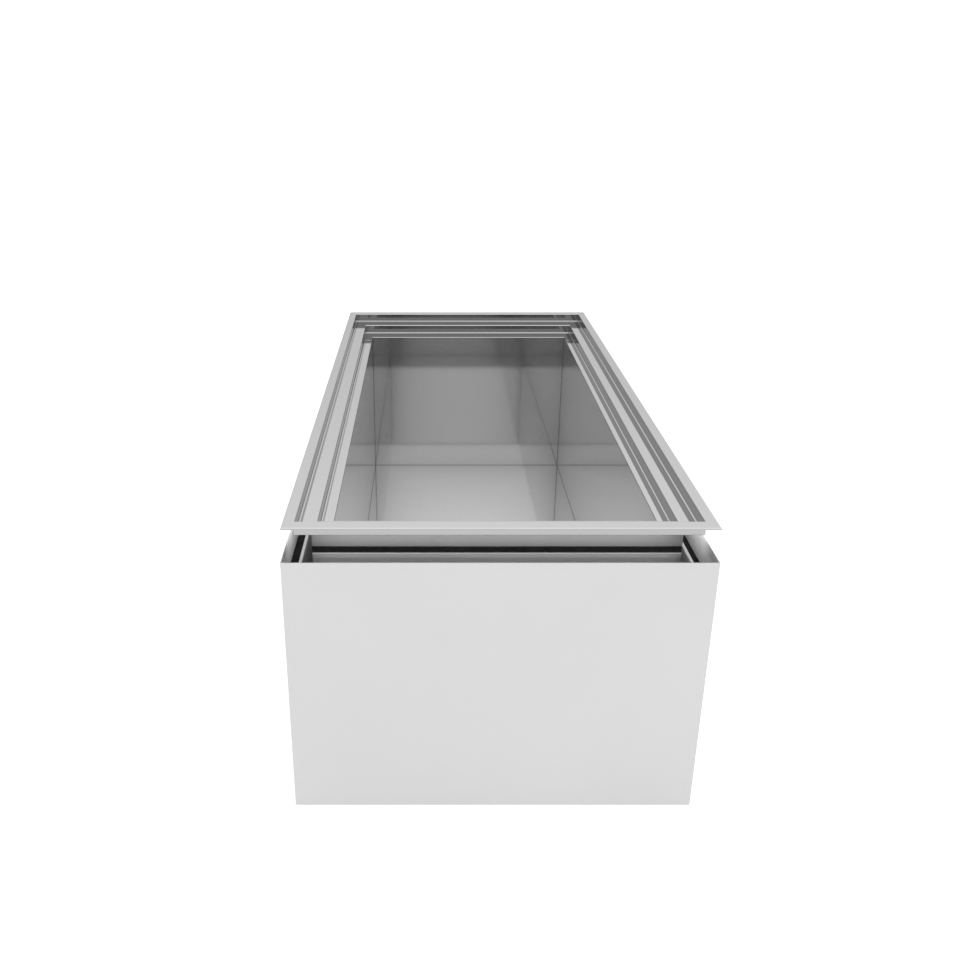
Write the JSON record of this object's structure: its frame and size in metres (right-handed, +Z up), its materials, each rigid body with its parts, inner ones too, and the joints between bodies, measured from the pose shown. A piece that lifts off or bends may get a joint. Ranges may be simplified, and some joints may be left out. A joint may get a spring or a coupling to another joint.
{
  "type": "ice cream dipping cabinet",
  "caption": "Drop-in dipping cabinet: long stepped stainless rim round a deep insulated tub, standing in an open-topped outer casing, for scooping ice cream.",
  "frame": {"origin": "centre of the underside of the outer casing, on the surface it stands on", "axes": "+Z up; +Y along the cabinet's length, towards its back end; +X across it, to the right seen from the front end"},
  "size_m": [0.706, 1.53, 0.546],
  "materials": {
    "top_steel": "brushed",
    "tub_steel": "polished, faintly brushed",
    "jacket_steel": "polished sheet",
    "casing_steel": "light grey, satin",
    "lining_steel": "galvanised",
    "black_insulation": "matte",
    "foam": "matte",
    "gasket_rubber": "matte",
    "copper": "satin",
    "white_plastic": "matte"
  },
  "bodies": {
    "casing": {"casing_left": "casing_steel", "casing_foam_left": "black_insulation", "lining_left": "lining_steel", "casing_right": "casing_steel", "casing_foam_right": "black_insulation", "lining_right": "lining_steel", "casing_front": "casing_steel", "casing_foam_front": "black_insulation", "lining_front": "lining_steel", "casing_back": "casing_steel", "casing_foam_back": "black_insulation", "lining_back": "lining_steel", "casing_floor": "casing_steel", "casing_foam_floor": "black_insulation", "lining_floor": "lining_steel", "bearers": "white_plastic", "line_sleeves": "white_plastic"},
    "insert": {"rim_left": "top_steel", "tub_left": "tub_steel", "jacket_left": "jacket_steel", "foam_left": "foam", "rim_right": "top_steel", "tub_right": "tub_steel", "jacket_right": "jacket_steel", "foam_right": "foam", "rim_front": "top_steel", "tub_front": "tub_steel", "jacket_front": "jacket_steel", "foam_front": "foam", "rim_back": "top_steel", "tub_back": "tub_steel", "jacket_back": "jacket_steel", "foam_back": "foam", "tub_floor": "tub_steel", "jacket_floor": "jacket_steel", "foam_floor": "foam", "flange_gasket": "gasket_rubber", "evaporator_coil": "copper", "liquid_line": "copper", "suction_line": "copper", "thermostat_well": "copper"}
  },
  "joints": [
    {"name": "insert_lift", "type": "slide", "parent": "casing", "child": "insert", "axis": [0, 0, 1], "range_m": [0, 0.5]}
  ]
}
